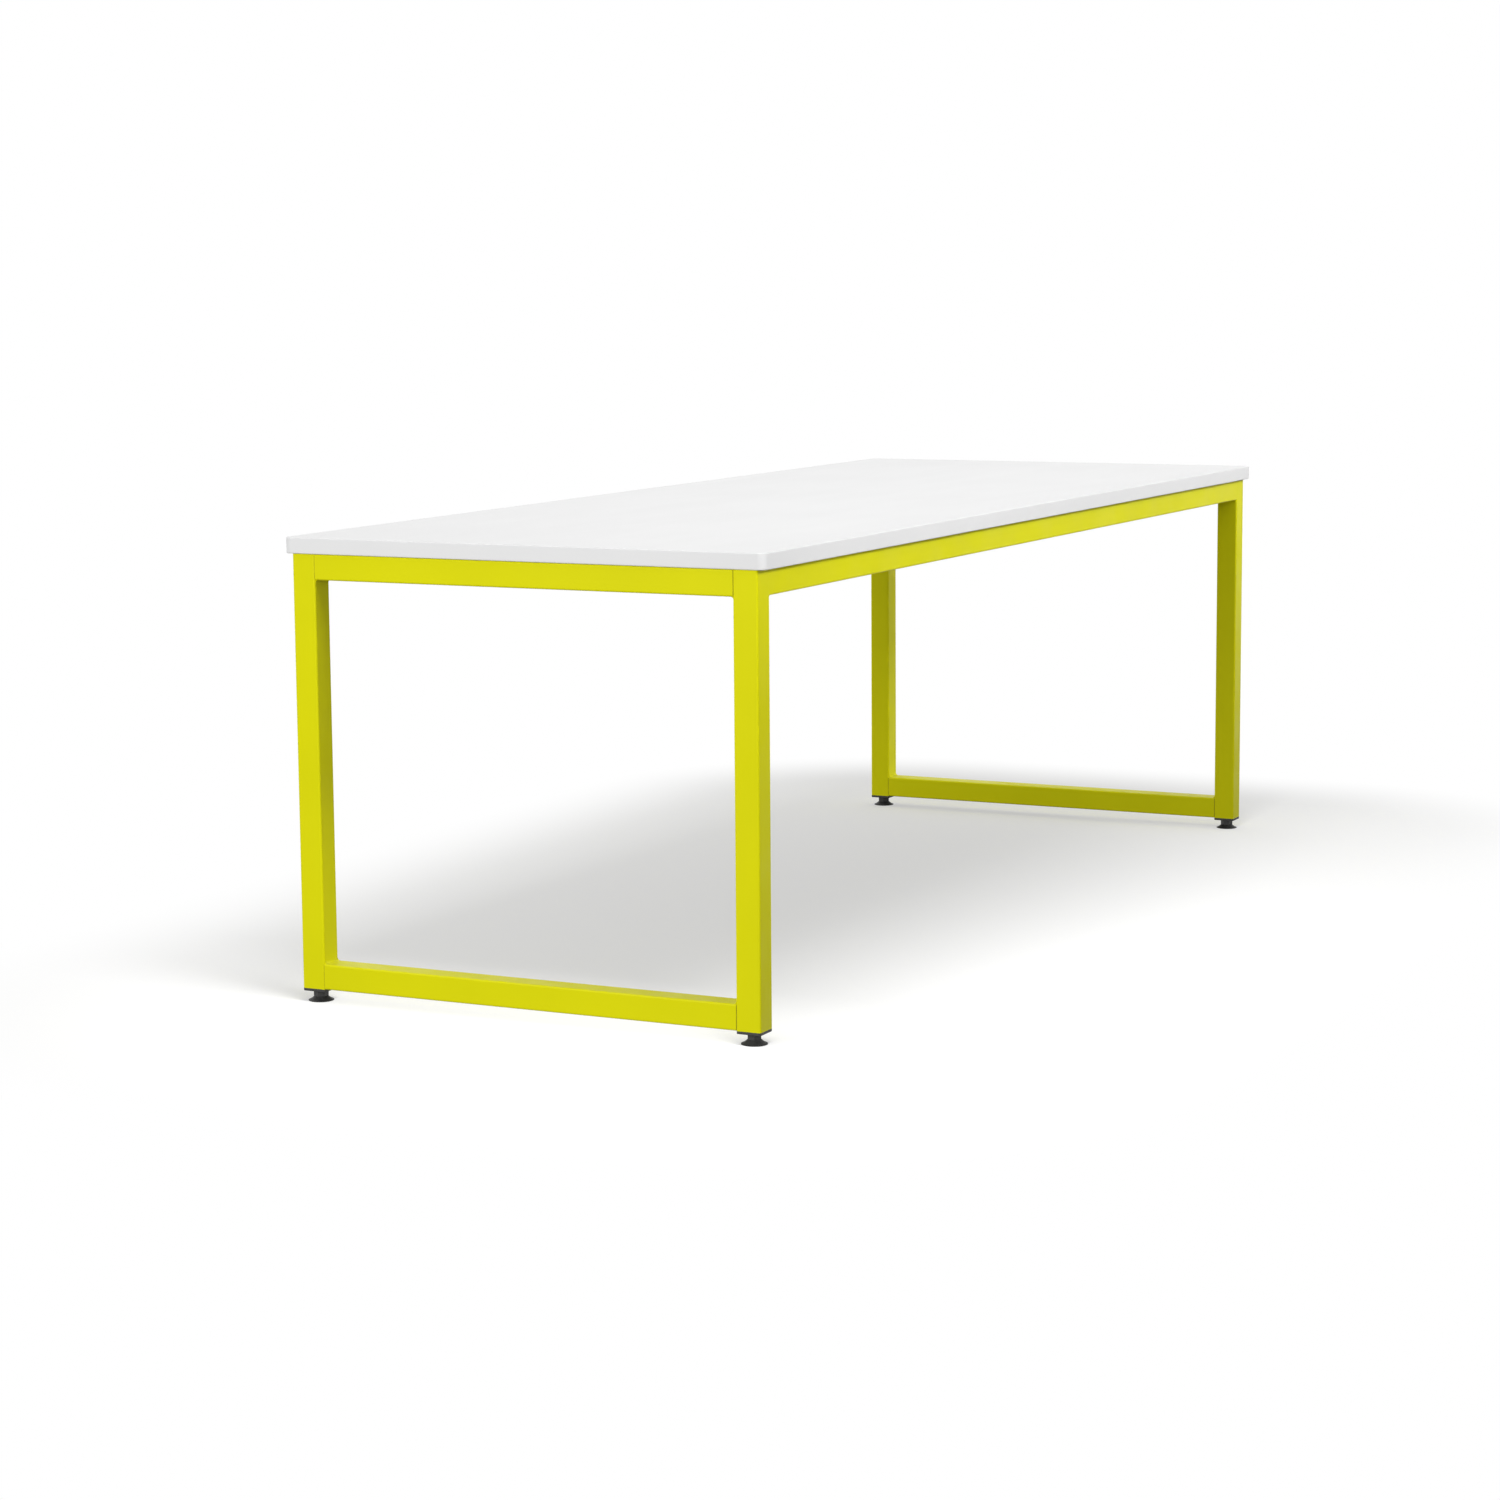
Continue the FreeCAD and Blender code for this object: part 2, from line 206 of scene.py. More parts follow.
floor_finish = bpy.data.materials.new("studio_floor")
floor_finish.use_nodes = True
tree = floor_finish.node_tree
tree.nodes.clear()
seen = seen_directly(tree)
beside = vector_calc(tree, "ABSOLUTE", spot_on_piece(tree))
beyond = vector_calc(tree, "SUBTRACT", beside, cad_high)
clear_of = vector_calc(tree, "MAXIMUM", beyond, (0, 0, 0))
reach = place(tree, "ShaderNodeVectorMath", {0: clear_of}, operation="LENGTH").outputs["Value"]
whiteness = calc(tree, "MULTIPLY", ramp(tree, reach, white_from, white_by), seen)
shade = ramp(tree, seen, 0.0, 1.0, floor_scatter, floor_seen)
pale = place(tree, "ShaderNodeBsdfDiffuse", {"Color": shade})
glow = place(tree, "ShaderNodeEmission", {"Strength": calc(tree, "MULTIPLY", seen, floor_glow)})
lifted = place(tree, "ShaderNodeAddShader", {0: pale.outputs[0], 1: glow.outputs[0]})
white = place(tree, "ShaderNodeEmission")
from_above = place(tree, "ShaderNodeMixShader", {0: whiteness, 1: lifted.outputs[0], 2: white.outputs[0]})
from_below = place(tree, "ShaderNodeBsdfTransparent")
below = place(tree, "ShaderNodeNewGeometry").outputs["Backfacing"]
both = place(tree, "ShaderNodeMixShader", {0: below, 1: from_above.outputs[0], 2: from_below.outputs[0]})
place(tree, "ShaderNodeOutputMaterial", {"Surface": both.outputs[0]})
floor.data.materials.append(floor_finish)
floor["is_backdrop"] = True
print("floor laid, plain white from", white_by, "m beside the table")

# %% World
ambient = 0.48

world = bpy.data.worlds.new("studio")
bpy.context.scene.world = world
world.use_nodes = True
tree = world.node_tree
tree.nodes.clear()
level = place(tree, "ShaderNodeMapRange", {"Value": seen_directly(tree), "To Min": ambient, "To Max": 1.0})
sky = place(tree, "ShaderNodeBackground", {"Color": (1, 1, 1, 1), "Strength": level.outputs["Result"]})
place(tree, "ShaderNodeOutputWorld", {"Surface": sky.outputs[0]})
print("the surroundings scatter", ambient, "of the white that the camera sees")

# %% [markdown]
# ## A floor that follows the feet
# Levelling feet are there for uneven floors: a foot is screwed out where the floor lies lower. So
# the floor is cut along four lines that pass just inside the feet, and the points round each foot
# are hooked to its pad. When a pose moves a pad, the floor below it goes along and slopes gently
# from foot to foot. Four separate tiles could do the same, but they would show steps between them.

# %% Floor that follows the feet
corners = ("front_left", "front_right", "back_left", "back_right")
foot_margin = 10 * mm

pad_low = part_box("foot_pad_back_right")[0]
bpy.ops.object.mode_set(mode="EDIT")
for cut in (Vector((pad_low.x - foot_margin, 0, 0)), Vector((0, pad_low.y - foot_margin, 0))):
    for side in (-1, 1):
        bpy.ops.mesh.select_all(action="SELECT")
        bpy.ops.mesh.bisect(plane_co=side * cut, plane_no=cut)
bpy.ops.object.mode_set(mode="OBJECT")
for corner in corners:
    pad_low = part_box("foot_pad_" + corner)[0]
    round_foot = [point.index for point in floor.data.vertices
                  if point.co.x * pad_low.x > 0 and point.co.y * pad_low.y > 0]
    floor.vertex_groups.new(name=corner).add(round_foot, 1.0, "REPLACE")
    hook = floor.modifiers.new("hook_" + corner, "HOOK")
    hook.falloff_type = "NONE"
    hook.vertex_group = corner
    hook.object = frame["bodies"]["pad_" + corner]
print("the floor's", len(floor.data.vertices), "points follow the four pads")

# %% [markdown]
# ## Studio: lamps
# The table's end is lit broadly from the front, its long side brightens towards the top, and a
# soft shadow lies below. So three softboxes light the table, in front, at the side and overhead,
# and two weak ones behind it keep the far sides from going dull when one walks round. A softbox
# is an area lamp. Its spread, how far the light fans out, makes the side lamp favour the upper
# part of the frame. One more lamp only draws the shadow on the floor, and the others leave the
# floor alone: light linking gives each lamp the collection that it lights, as a photographer's
# flags would. The floor is clear below the near floor rail, so that lamp shines through the rail:
# a second kind of link names what casts no shadow. The camera never sees the lamps, and the two
# behind cast no highlights.

# %% Lamp helper
def softbox(name, stand, aim, width, height, watts, spread=180.0, highlights=True):
    """A rectangular lamp that stands at a place and points at another."""
    lamp = bpy.data.lights.new(name, "AREA")
    lamp.shape = "RECTANGLE"
    lamp.size = width
    lamp.size_y = height
    lamp.energy = watts
    lamp.spread = math.radians(spread)
    holder = bpy.data.objects.new(name, lamp)
    bpy.context.scene.collection.objects.link(holder)
    holder.location = stand
    holder.rotation_euler = (Vector(aim) - Vector(stand)).to_track_quat("-Z", "Y").to_euler()
    holder.visible_camera = False
    holder.visible_glossy = highlights
    return holder


print("lamp helper ready")

# %% Lamps
overhead = softbox("overhead_lamp", (0.8, 0.9, 3.0), (0.2, 0.0, 0.72), 2.8, 2.2, 15)
front = softbox("front_lamp", (-4.2, 0.2, 1.40), (-1.1, 0.0, 0.40), 3.0, 1.2, 70)
side = softbox("side_lamp", (0.2, -2.4, 1.75), (0.2, -0.4, 1.14), 3.6, 0.5, 12.6, spread=58)
back = softbox("back_lamp", (0.8, 3.2, 0.55), (0.2, 0.4, 0.50), 2.8, 0.9, 34, highlights=False)
far_end = softbox("far_end_lamp", (4.2, 0.3, 0.55), (1.1, 0.0, 0.50), 2.6, 0.9, 40, highlights=False)
shadow = softbox("shadow_lamp", (-1.4, -0.55, 2.2), (1.4, -0.8, 0.0), 1.4, 1.1, 68)

# %% What the lamps light
def light_link(name, piece, state):
    """A collection that links lamps to one piece alone, or to all but that piece."""
    link = bpy.data.collections.new(name)
    link.objects.link(piece)
    link.collection_objects[0].light_linking.link_state = state
    return link


all_but_floor = light_link("all_but_floor", floor, "EXCLUDE")
for lamp in (overhead, front, side, back, far_end):
    lamp.light_linking.receiver_collection = all_but_floor
shadow.light_linking.receiver_collection = light_link("floor_only", floor, "INCLUDE")
near_rail = cad_nodes["end_bottom_rail_left"]
shadow.light_linking.blocker_collection = light_link("all_but_near_rail", near_rail, "EXCLUDE")
print("one lamp lights the floor, and the others light the table")

# %% [markdown]
# ## Effects that the finishes share
# No real surface has one flat colour: paint is sprayed a little unevenly, plastic cools a little
# unevenly, and everything gets handled and gathers dust. These effects are the same in kind on
# the paint, the board, the plastic and the steel, and differ only in size and strength. So each
# is a node group, built once, with those sizes and strengths as its inputs. The patterns read
# Object coordinates, which are metres on every piece here.

# %% Helpers for effects
def new_effect(name, takes, gives):
    """An empty node group with named inputs and one output. Returns its tree, inputs and output node."""
    group = bpy.data.node_groups.new(name, "ShaderNodeTree")
    for socket, (kind, value) in takes.items():
        made = group.interface.new_socket(socket, in_out="INPUT", socket_type="NodeSocket" + kind)
        made.default_value = value
    for socket, kind in gives.items():
        group.interface.new_socket(socket, in_out="OUTPUT", socket_type="NodeSocket" + kind)
    given = group.nodes.new("NodeGroupInput").outputs
    return group, given, group.nodes.new("NodeGroupOutput")


def patches(tree, patch_size, detail, stretch=None):
    """A cloudy pattern of 0 to 1 with patches of the given size, drawn out where a stretch is given."""
    where = spot_on_piece(tree)
    if stretch is not None:
        where = vector_calc(tree, "DIVIDE", where, stretch)
    feeds = {"Vector": where, "Scale": calc(tree, "DIVIDE", 1.0, patch_size), "Detail": detail}
    return place(tree, "ShaderNodeTexNoise", feeds).outputs["Fac"]


even = (1.0, 1.0, 1.0)
print("ready to build effects")

# %% Tone drift: a colour that wanders a little lighter and darker
tone_detail = 3.0
tone_band = (0.25, 0.75)

tone_drift, given, out = new_effect(
    "tone_drift",
    {"Color": ("Color", (0.8, 0.8, 0.8, 1)), "Drift": ("Float", 0.05), "Patch Size": ("Float", 0.1)},
    {"Color": "Color"})
cloud = patches(tone_drift, given["Patch Size"], tone_detail)
lightest = calc(tone_drift, "ADD", 1.0, given["Drift"])
darkest = calc(tone_drift, "SUBTRACT", 1.0, given["Drift"])
value = ramp(tone_drift, cloud, *tone_band, darkest, lightest)
drifted = place(tone_drift, "ShaderNodeHueSaturation", {"Color": given["Color"], "Value": value})
tone_drift.links.new(drifted.outputs["Color"], out.inputs["Color"])
print("built", tone_drift.name)

# %% Sheen drift: roughness between two values, from handling and wiping
sheen_detail = 4.0
sheen_band = (0.3, 0.7)

sheen_drift, given, out = new_effect(
    "sheen_drift",
    {"Low": ("Float", 0.3), "High": ("Float", 0.5), "Patch Size": ("Float", 0.1),
     "Stretch": ("Vector", even)},
    {"Roughness": "Float"})
cloud = patches(sheen_drift, given["Patch Size"], sheen_detail, given["Stretch"])
sheen = ramp(sheen_drift, cloud, *sheen_band, given["Low"], given["High"])
sheen_drift.links.new(sheen, out.inputs["Roughness"])
print("built", sheen_drift.name)

# %% Surface grain: the fine relief that a bump node shows
grain_detail = 2.0

surface_grain, given, out = new_effect(
    "surface_grain",
    {"Grain Size": ("Float", 0.001), "Stretch": ("Vector", even)},
    {"Height": "Float"})
grain = patches(surface_grain, given["Grain Size"], grain_detail, given["Stretch"])
surface_grain.links.new(grain, out.inputs["Height"])
print("built", surface_grain.name)

# %% Settled dust: a mask for surfaces that face up, thicker near the floor
dusty_slopes = (0.2, 0.9)
speck_size = 12 * mm
speck_detail = 5.0
speck_band = (0.35, 0.65)

settled_dust, given, out = new_effect(
    "settled_dust",
    {"Amount": ("Float", 0.2), "Reach": ("Float", 0.2)},
    {"Mask": "Float"})
normal = place(settled_dust, "ShaderNodeNewGeometry").outputs["Normal"]
upward = ramp(settled_dust, axis_of(settled_dust, normal, "Z"), *dusty_slopes)
height = axis_of(settled_dust, spot_on_piece(settled_dust), "Z")
near_floor = ramp(settled_dust, height, 0.0, given["Reach"], 1.0, 0.0)
specks = ramp(settled_dust, patches(settled_dust, speck_size, speck_detail), *speck_band)
dust = calc(settled_dust, "MULTIPLY", calc(settled_dust, "MULTIPLY", upward, near_floor), specks)
settled_dust.links.new(calc(settled_dust, "MULTIPLY", dust, given["Amount"]), out.inputs["Mask"])
print("built", settled_dust.name)

# %% [markdown]
# ## Helpers for finishes
# Each finish is one Principled BSDF. What is the same all over a surface, such as how strongly it
# mirrors, is written on the shader itself. What changes over the surface comes from the effects.

# %% Finish helpers
finishes = {}


def new_finish(slot, name, **constants):
    """A material for a slot, with constants set on its shader. Returns its tree and its shader."""
    finish = bpy.data.materials.new(name)
    finish.use_nodes = True
    finishes[slot] = finish
    shader = finish.node_tree.nodes["Principled BSDF"]
    for socket, value in constants.items():
        shader.inputs[socket.replace("_", " ")].default_value = value
    return finish.node_tree, shader


def effect(tree, group, **feeds):
    """Place an effect with its own values, and return its output."""
    named = {socket.replace("_", " "): feed for socket, feed in feeds.items()}
    return place(tree, "ShaderNodeGroup", named, node_tree=group).outputs[0]


def blend(tree, share, base, other):
    """Mix one colour into another by a mask. A Mix node's inputs 6 and 7 and output 2 are its colours."""
    return place(tree, "ShaderNodeMix", {0: share, 6: base, 7: other}, data_type="RGBA").outputs[2]


def connect(tree, shader, color, roughness, height, relief):
    """Link colour and roughness to a shader, and a height of so many metres through a bump node."""
    tree.links.new(color, shader.inputs["Base Color"])
    tree.links.new(roughness, shader.inputs["Roughness"])
    bump = place(tree, "ShaderNodeBump", {"Height": height, "Distance": relief, "Strength": 1.0})
    tree.links.new(bump.outputs["Normal"], shader.inputs["Normal"])


print("finish helpers ready")

# %% [markdown]
# ## Lime powder coat
# The frame is powder coated: a dry paint that is baked until it flows together. It keeps a fine
# orange peel, about a millimetre and a half across, and a mild gloss. The colour is a strong
# yellow green with next to no blue. A clear coat layer could give the gloss, but a powder coat is
# one layer, so a plain shader with a low specular level is nearer to it.

# %% Lime powder coat
lime = (0.78, 0.755, 0.004, 1)
lime_gloss = 0.07
peel_size = 1.5 * mm
peel_relief = 0.05 * mm
house_dust = (0.60, 0.58, 0.50, 1)


def lime_coat(tree):
    """The powder coat's colour, roughness and orange peel."""
    color = effect(tree, tone_drift, Color=lime, Drift=0.02, Patch_Size=0.16)
    roughness = effect(tree, sheen_drift, Low=0.34, High=0.46, Patch_Size=0.07)
    return color, roughness, effect(tree, surface_grain, Grain_Size=peel_size)


tree, shader = new_finish("lime_frame", "lime_powder_coat", Specular_IOR_Level=lime_gloss)
color, roughness, peel = lime_coat(tree)
dusty = effect(tree, settled_dust, Amount=0.06, Reach=0.30)
color = blend(tree, dusty, color, house_dust)
roughness = calc(tree, "ADD", roughness, dusty)
connect(tree, shader, color, roughness, peel, peel_relief)
print("lime powder coat, peel of", round(peel_size / mm, 2), "mm")

# %% [markdown]
# ## Painted shade in the seams
# Where the end rails meet the uprights, the seam is a crevice that lies in shade, darker than the
# shallow groove in the solid makes it. So that shade is painted: the welds of the end frames get a
# finish of their own, lime with a dark painted shade mixed in past the cut ends of the rails. Only
# the seams lie there, so the fillets in the corners stay lime.

# %% Painted shade in the seams
# painted shade: a dark lime that stands in for the shade in the seams' crevices
painted_seam_shade = (0.30, 0.285, 0.02, 1)
seam_margin = 0.05 * mm
rail_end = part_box("end_top_rail_left")[1].y

tree, shader = new_finish("seam", "lime_with_painted_seam_shade", Specular_IOR_Level=lime_gloss)
color, roughness, peel = lime_coat(tree)
# past the cut end of a rail, the painted seam shade is mixed into the lime
off_middle = calc(tree, "ABSOLUTE", axis_of(tree, spot_on_piece(tree), "Y"))
in_seam = ramp(tree, off_middle, rail_end, rail_end + seam_margin)
connect(tree, shader, blend(tree, in_seam, color, painted_seam_shade), roughness, peel, peel_relief)
print("seams lie", round(rail_end / mm), "mm from the middle line")

# %% [markdown]
# ## White faced board
# The top is particle board with a white melamine facing, pressed against a plate that leaves a
# fine pearl texture. Wiping leaves long faint streaks in its sheen. Where the facing meets the
# edging there is a hairline of glue. It could be a thin strip of geometry, but at a third of a
# millimetre it is really only a stain, so it is drawn in the colour: the distance to a rounded
# rectangle, worked out from the Object coordinates, is small only along that line.

# %% White faced board: the glue line
glue_width = 0.3 * mm
glue_share = 0.5
board_corner = 10 * mm
board_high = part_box("top_board")[1]
half_length, half_width = board_high.x, board_high.y

tree, shader = new_finish("white_board", "white_melamine", Specular_IOR_Level=0.3)
where = spot_on_piece(tree)
off_x = calc(tree, "ABSOLUTE", axis_of(tree, where, "X"))
off_y = calc(tree, "ABSOLUTE", axis_of(tree, where, "Y"))
past_x = calc(tree, "SUBTRACT", off_x, half_length - board_corner)
past_y = calc(tree, "SUBTRACT", off_y, half_width - board_corner)
out_x = calc(tree, "MAXIMUM", past_x, 0.0)
out_y = calc(tree, "MAXIMUM", past_y, 0.0)
square_x = calc(tree, "MULTIPLY", out_x, out_x)
square_y = calc(tree, "MULTIPLY", out_y, out_y)
outside = calc(tree, "SQRT", calc(tree, "ADD", square_x, square_y))
inside = calc(tree, "MINIMUM", calc(tree, "MAXIMUM", past_x, past_y), 0.0)
from_edge = calc(tree, "SUBTRACT", board_corner, calc(tree, "ADD", outside, inside))
glue_line = ramp(tree, from_edge, glue_width / 2, glue_width, glue_share, 0.0)
print("glue line round a board of", [round(2 * h / mm) for h in (half_length, half_width)], "mm")

# %% White faced board: the facing
board_white = (0.87, 0.87, 0.87, 1)
glue_tint = (0.62, 0.60, 0.55, 1)
wiped = (6.0, 1.0, 1.0)

color = effect(tree, tone_drift, Color=board_white, Drift=0.010, Patch_Size=0.35)
roughness = effect(tree, sheen_drift, Low=0.40, High=0.52, Patch_Size=0.06, Stretch=wiped)
pearl = effect(tree, surface_grain, Grain_Size=0.7 * mm)
color = blend(tree, glue_line, color, glue_tint)
connect(tree, shader, color, roughness, pearl, relief=0.006 * mm)
print("white facing with a fine pearl")

# %% [markdown]
# ## White edging
# The edging is an extruded plastic strip, a trace greyer than the facing, glued round the board
# and trimmed flush. Extrusion leaves fine lines that run along the strip. The same grain effect
# draws them when it is stretched a great deal in both level directions and not at all upwards.

# %% White edging
edging_white = (0.84, 0.84, 0.84, 1)
streaks = (8.0, 8.0, 1.0)
drawn_out = (150.0, 150.0, 1.0)

tree, shader = new_finish("white_edging", "white_edging_strip", Specular_IOR_Level=0.12)
color = effect(tree, tone_drift, Color=edging_white, Drift=0.012, Patch_Size=0.20)
roughness = effect(tree, sheen_drift, Low=0.50, High=0.62, Patch_Size=0.02, Stretch=streaks)
lines = effect(tree, surface_grain, Grain_Size=0.5 * mm, Stretch=drawn_out)
connect(tree, shader, color, roughness, lines, relief=0.006 * mm)
print("edging with extrusion lines")

# %% [markdown]
# ## Black nylon
# The plugs and the levelling feet are moulded in black nylon. The mould's spark-eroded walls
# leave a fine even grain that makes it matt. It is never quite black: dust settles on the flare
# of each foot, and the grain scatters a little light.

# %% Black nylon
nylon_black = (0.022, 0.022, 0.022, 1)

tree, shader = new_finish("black_plastic", "black_nylon", Specular_IOR_Level=0.45)
color = effect(tree, tone_drift, Color=nylon_black, Drift=0.15, Patch_Size=0.008)
roughness = effect(tree, sheen_drift, Low=0.46, High=0.62, Patch_Size=0.006)
spark = effect(tree, surface_grain, Grain_Size=0.35 * mm)
dusty = effect(tree, settled_dust, Amount=0.03, Reach=0.06)
color = blend(tree, dusty, color, house_dust)
roughness = calc(tree, "ADD", roughness, dusty)
connect(tree, shader, color, roughness, spark, relief=0.03 * mm)
print("black nylon with a spark grain")

# %% [markdown]
# ## Zinc-plated steel
# Screws, nuts and studs are zinc plated and passivated, which leaves a silver metal with a cool
# cast, cloudier in some places than in others. As a metal it has no colour but that of its
# reflections, so Metallic is full and the clouds go into tone and roughness.

# %% Zinc-plated steel
zinc = (0.62, 0.64, 0.67, 1)

tree, shader = new_finish("zinc_steel", "zinc_plate", Metallic=1.0)
color = effect(tree, tone_drift, Color=zinc, Drift=0.10, Patch_Size=0.004)
roughness = effect(tree, sheen_drift, Low=0.26, High=0.46, Patch_Size=0.003)
plate = effect(tree, surface_grain, Grain_Size=0.25 * mm)
connect(tree, shader, color, roughness, plate, relief=0.008 * mm)
print("zinc plate with faint clouds")

# %% [markdown]
# ## Finishes onto the frame
# The record of the part says which finish each solid has. The solids stay exactly as they are,
# and only what is in their material slots is exchanged. The welds of the end frames then get the
# variant with painted shade in the seams.

# %% Finishes onto the frame
for row in frame["record"]["subparts"]:
    dressed = cad_nodes[row["node"]]
    dressed.data.materials.clear()
    dressed.data.materials.append(finishes[row["material_slot"]])
# the end-frame welds take the lime with painted shade in the seams
for end in ("left", "right"):
    cad_nodes["end_frame_welds_" + end].data.materials[0] = finishes["seam"]

# %% [markdown]
# ## Helpers for modelling with operators
# The pieces below are modelled the way that one models by hand: add a primitive, select some of
# it, and push it about. An operator acts on whatever is selected, so three habits help: start
# with nothing selected, pick vertices, edges or faces by where they are, and put finished copies
# down with their place applied to the mesh, so that every object stays at the origin.

# %% Selecting
tolerance = 0.01 * mm
square_on = 0.99


def start_fresh():
    """Leave edit mode and deselect everything, so that the next operator acts on new things only."""
    if bpy.context.mode != "OBJECT":
        bpy.ops.object.mode_set(mode="OBJECT")
    bpy.ops.object.select_all(action="DESELECT")


def take(*pieces):
    """Select these pieces alone, with the first one active."""
    start_fresh()
    for piece in pieces:
        piece.select_set(True)
    bpy.context.view_layer.objects.active = pieces[0]


def pick_none(kind):
    """Deselect a mesh all over, and let edit mode act on faces or edges from now on."""
    bpy.ops.object.mode_set(mode="EDIT")
    bpy.ops.mesh.select_mode(type=kind)
    bpy.ops.mesh.select_all(action="DESELECT")
    bpy.ops.object.mode_set(mode="OBJECT")


def pick_faces(piece, wanted):
    """In edit mode, select the faces whose centre and normal pass a test."""
    pick_none("FACE")
    for face in piece.data.polygons:
        face.select = wanted(face.center, face.normal)
    bpy.ops.object.mode_set(mode="EDIT")


def pick_edges(piece, wanted):
    """In edit mode, select the edges whose two ends pass a test."""
    pick_none("EDGE")
    points = piece.data.vertices
    for edge in piece.data.edges:
        edge.select = all(wanted(points[end].co) for end in edge.vertices)
    bpy.ops.object.mode_set(mode="EDIT")


print("things are picked within", round(tolerance / mm, 3), "mm")

# %% Shaping
merge_gap = 0.001 * mm


def one_point(name, spot):
    """A mesh of a single vertex at a place, left in edit mode: a plane merged at its centre."""
    start_fresh()
    bpy.ops.mesh.primitive_plane_add(size=10 * mm)
    bpy.context.object.name = name
    bpy.ops.object.mode_set(mode="EDIT")
    bpy.ops.mesh.select_mode(type="VERT")
    bpy.ops.mesh.select_all(action="SELECT")
    bpy.ops.mesh.merge(type="CENTER")
    bpy.ops.transform.translate(value=spot)
    return bpy.context.object


def disc(sides, radius, bottom, height):
    """A cylinder that stands on the Z axis at a height."""
    start_fresh()
    bpy.ops.mesh.primitive_cylinder_add(vertices=sides, radius=radius, depth=height,
                                        location=(0, 0, bottom + height / 2))
    bpy.ops.object.transform_apply(location=True)
    return bpy.context.object


def extrude(offset):
    """Extrude what is selected by an offset."""
    bpy.ops.mesh.extrude_region_move(TRANSFORM_OT_translate={"value": offset})


def apply(piece, modifier):
    """Apply a modifier to its piece."""
    take(piece)
    bpy.ops.object.modifier_apply(modifier=modifier.name)


def face_outwards(piece):
    """Merge doubles and turn all faces of a closed piece outwards."""
    take(piece)
    bpy.ops.object.mode_set(mode="EDIT")
    bpy.ops.mesh.select_all(action="SELECT")
    bpy.ops.mesh.remove_doubles(threshold=merge_gap)
    bpy.ops.mesh.normals_make_consistent(inside=False)
    bpy.ops.object.mode_set(mode="OBJECT")


print("shaping helpers ready")

# %% Copying and handing over
smooth_below = math.radians(40)


def put_copy(model, name, matrix):
    """Copy a modelled piece, with its own mesh, and apply its place to the mesh."""
    take(model)
    bpy.ops.object.duplicate()
    copy = bpy.context.object
    copy.name = name
    copy.matrix_world = matrix
    bpy.ops.object.transform_apply(location=True, rotation=True, scale=True)
    return copy


def over_middle(low, high):
    """The matrix that moves a piece from the Z axis to the middle of a box, at the same height."""
    return Matrix.Translation(((low.x + high.x) / 2, (low.y + high.y) / 2, 0))


def join(name, pieces):
    """Join pieces into one object."""
    take(*pieces)
    bpy.ops.object.join()
    bpy.context.object.name = name
    return bpy.context.object


def hand_over(piece, body, slot):
    """Shade a finished piece, dress it in its slot's finish and let it ride on its body."""
    take(piece)
    bpy.ops.object.shade_smooth_by_angle(angle=smooth_below)
    piece.data.materials.clear()
    piece.data.materials.append(finishes[slot])
    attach(piece, body)
    print(piece.name, "rides on", body, "with", len(piece.data.polygons), "faces")


print("copying helpers ready")

# %% Reading where the solids are
def loose_boxes(node):
    """The lowest and highest corner of each separate solid in a CAD node, read from a merged copy."""
    take(cad_nodes[node])
    bpy.ops.object.duplicate()
    bpy.ops.object.mode_set(mode="EDIT")
    bpy.ops.mesh.select_all(action="SELECT")
    bpy.ops.mesh.remove_doubles(threshold=merge_gap)
    bpy.ops.mesh.separate(type="LOOSE")
    bpy.ops.object.mode_set(mode="OBJECT")
    boxes = []
    for solid in list(bpy.context.selected_objects):
        points = [Vector(point) for point in solid.bound_box]
        boxes.append((Vector(map(min, *points)), Vector(map(max, *points))))
        bpy.data.objects.remove(solid)
    return sorted(boxes, key=lambda box: tuple(round(c, 4) for c in box[0]))


screw_boxes = loose_boxes("top_screws")
angle_boxes = loose_boxes("top_brackets")
print(len(screw_boxes), "screws and", len(angle_boxes), "angles found")

# %% [markdown]
# ## Screw threads
# A thread is one tooth, drawn in profile beside the axis and swept up a screw line. A spin with a
# rise in it could do this, but the Screw modifier keeps the pitch exact over many turns. The
# sweep starts below the rod and ends above it, and two bisect cuts trim and cap it square. The
# tooth is extruded from one vertex: out along a flank, up the flat crest, back in, and up the
# root. A right-hand thread climbs as it turns anticlockwise, seen from above.

# %% Thread helpers
flank_share, crest_share, root_share = 5 / 16, 1 / 8, 1 / 4
cut_gap = 1e-7


def threaded_rod(name, radius, depth, pitch, bottom, top, steps=28):
    """A closed right-hand threaded rod on the Z axis."""
    rod = one_point(name, (radius - depth, 0, bottom - pitch))
    for out, up in ((depth, flank_share), (0, crest_share), (-depth, flank_share), (0, root_share)):
        extrude((out, 0, up * pitch))
    bpy.ops.object.mode_set(mode="OBJECT")
    sweep = rod.modifiers.new("sweep", "SCREW")
    sweep.screw_offset = pitch
    sweep.iterations = math.ceil((top - bottom) / pitch) + 2
    sweep.steps = sweep.render_steps = steps
    apply(rod, sweep)
    face_outwards(rod)
    bpy.ops.object.mode_set(mode="EDIT")
    for height, keep_above in ((bottom, True), (top, False)):
        bpy.ops.mesh.select_all(action="SELECT")
        bpy.ops.mesh.bisect(plane_co=(0, 0, height), plane_no=(0, 0, 1), threshold=cut_gap,
                            use_fill=True, clear_inner=keep_above, clear_outer=not keep_above)
    face_outwards(rod)
    return rod


def draw_end(rod, height, width):
    """Draw the top face of a rod up by a height, to a share of its width: a chamfer or a point."""
    top = max(corner[2] for corner in rod.bound_box)
    pick_faces(rod, lambda centre, normal: normal.z > square_on and centre.z > top - merge_gap)
    extrude((0, 0, height))
    bpy.ops.transform.resize(value=(width, width, 1), center_override=(0, 0, top + height))
    bpy.ops.object.mode_set(mode="OBJECT")


print("thread helpers ready")

